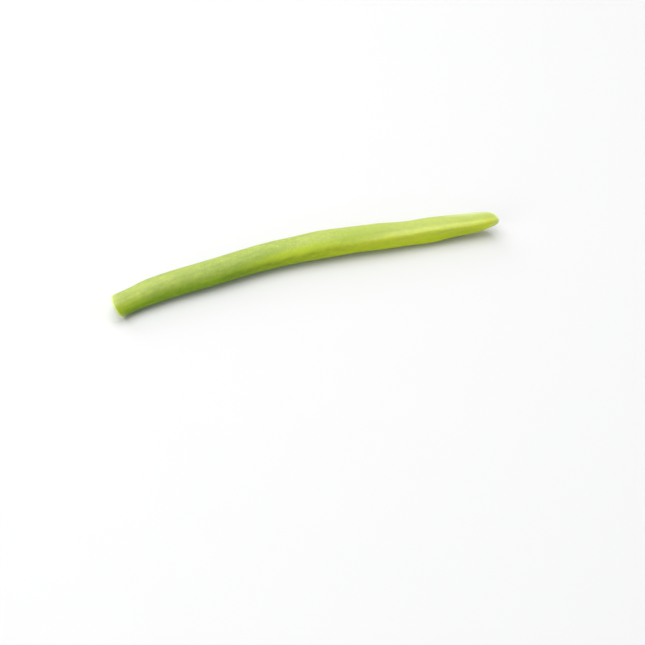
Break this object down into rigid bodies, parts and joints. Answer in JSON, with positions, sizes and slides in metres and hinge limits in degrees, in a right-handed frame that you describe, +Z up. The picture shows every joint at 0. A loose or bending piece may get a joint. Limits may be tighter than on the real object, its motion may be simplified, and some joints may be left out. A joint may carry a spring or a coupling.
{
  "type": "green bean",
  "caption": "Fresh green bean pod with its ends trimmed off, lying on its side: gently bowed, slightly twisted, with a seam along it and soft swellings over the seeds.",
  "frame": {"origin": "on the surface the pod lies on, under the middle of its bounding box", "axes": "+X along the pod from the stem end to the tip, +Y to the side the pod bows towards, +Z up"},
  "size_m": [0.1212, 0.0142, 0.0083],
  "materials": {
    "bean_skin": "satin, fresh plant skin"
  },
  "bodies": {
    "root": {"green_bean": "bean_skin"}
  },
  "joints": []
}
